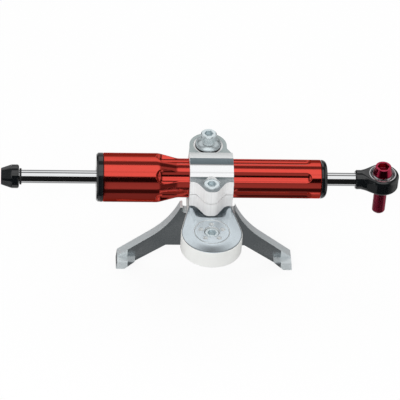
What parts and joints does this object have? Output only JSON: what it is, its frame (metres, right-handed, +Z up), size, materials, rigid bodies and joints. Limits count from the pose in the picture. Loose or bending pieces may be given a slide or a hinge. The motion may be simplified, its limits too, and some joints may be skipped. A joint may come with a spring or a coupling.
{
  "type": "motorcycle steering damper",
  "caption": "Hydraulic steering damper with a through rod, click adjuster and rod-end bolt, clamped to an arm that swings on a footed frame bracket.",
  "frame": {"origin": "midway between the two foot holes, on the plane that the bracket's feet stand on", "axes": "+X along the damper's rod towards the rod end, +Y from the swinging arm's pivot towards the damper, +Z up from the feet towards the damper"},
  "size_m": [0.2983, 0.1095, 0.0989],
  "materials": {
    "bright_alloy": "machined, satin",
    "zinc_steel": "zinc plated",
    "bare_steel": "ground",
    "red_anodised": "red anodised, polished",
    "black_anodised": "black anodised, glossy",
    "inner_alloy": "turned",
    "chromed_steel": "hard chromed, polished",
    "crimson_anodised": "crimson anodised",
    "blackened_steel": "blackened",
    "bronze": "turned",
    "slide_plastic": "filled low-friction plastic",
    "seal_rubber": "moulded"
  },
  "bodies": {
    "frame": {"frame_bracket": "bright_alloy", "pivot_bolt": "zinc_steel", "pivot_spacer": "bare_steel", "pivot_thrust_washer": "slide_plastic", "pivot_bearing_inner_race": "bare_steel", "pivot_bearing_balls": "bare_steel"},
    "arm": {"pivot_arm": "bright_alloy", "pivot_bearing_outer_race": "bare_steel", "pivot_cap": "bright_alloy", "saddle_screws": "zinc_steel", "clamp_lower": "bright_alloy", "clamp_upper": "bright_alloy", "clamp_front_screw": "zinc_steel", "clamp_rear_screw": "zinc_steel", "clamp_rear_washer": "blackened_steel", "damper_body": "red_anodised", "reservoir_end_cap": "black_anodised", "front_end_cap": "black_anodised", "end_cap_o_ring": "seal_rubber", "gas_fill_screw": "bare_steel", "reservoir_wiper": "seal_rubber", "reservoir_shaft_seal": "seal_rubber", "guide_tube": "inner_alloy", "reservoir_bush": "bronze", "cylinder_bulkhead": "inner_alloy", "bulkhead_seal": "seal_rubber", "bulkhead_o_ring": "seal_rubber", "front_guide": "inner_alloy", "front_bush": "bronze", "front_guide_o_ring": "seal_rubber", "front_shaft_seal": "seal_rubber", "front_wiper": "seal_rubber"},
    "separator": {"separator_piston": "inner_alloy", "separator_outer_o_ring": "seal_rubber", "separator_inner_o_ring": "seal_rubber"},
    "shaft": {"shaft": "chromed_steel", "piston": "inner_alloy", "piston_band": "slide_plastic", "compression_shims": "bare_steel", "rebound_shims": "bare_steel", "piston_circlips": "bare_steel", "shaft_stop_ring": "seal_rubber", "adjuster_hub": "inner_alloy", "adjuster_detent_ball": "bare_steel", "adjuster_detent_spring": "bare_steel", "rod_end_housing": "black_anodised", "rod_end_race": "bare_steel"},
    "knob": {"adjuster_knob": "black_anodised", "knob_retaining_screw": "bare_steel"},
    "needle": {"metering_needle": "bare_steel", "needle_o_ring": "seal_rubber"},
    "ball": {"rod_end_ball": "bare_steel"},
    "bolt": {"rod_end_bolt": "crimson_anodised"}
  },
  "joints": [
    {"name": "arm_swing", "type": "hinge", "parent": "frame", "child": "arm", "pos_m": [0, -0.0365, 0.0554], "axis": [0, 0, 1], "range_deg": [-3.5, 3.5]},
    {"name": "shaft_slide", "type": "slide", "parent": "arm", "child": "shaft", "axis": [1, 0, 0], "range_m": [-0.0205, 0.0545]},
    {"name": "separator_slide", "type": "slide", "parent": "arm", "child": "separator", "axis": [1, 0, 0], "range_m": [-0.0085, 0.0065]},
    {"name": "knob_turn", "type": "hinge", "parent": "shaft", "child": "knob", "pos_m": [-0.1493, 0.011, 0.076], "axis": [1, 0, 0], "range_deg": [-340, 340]},
    {"name": "needle_slide", "type": "slide", "parent": "shaft", "child": "needle", "axis": [1, 0, 0], "range_m": [-0.0008, 0.0008]},
    {"name": "ball_tilt", "type": "hinge", "parent": "shaft", "child": "ball", "pos_m": [0.1298, 0.011, 0.076], "axis": [1, 0, 0], "range_deg": [-10, 10]},
    {"name": "bolt_turn", "type": "hinge", "parent": "ball", "child": "bolt", "pos_m": [0.1298, 0.011, 0.076], "axis": [0, 0, 1], "continuous": true}
  ],
  "couplings": [
    {"joint": "needle_slide", "follows": "knob_turn", "m_per_rad": 0.00012732}
  ]
}
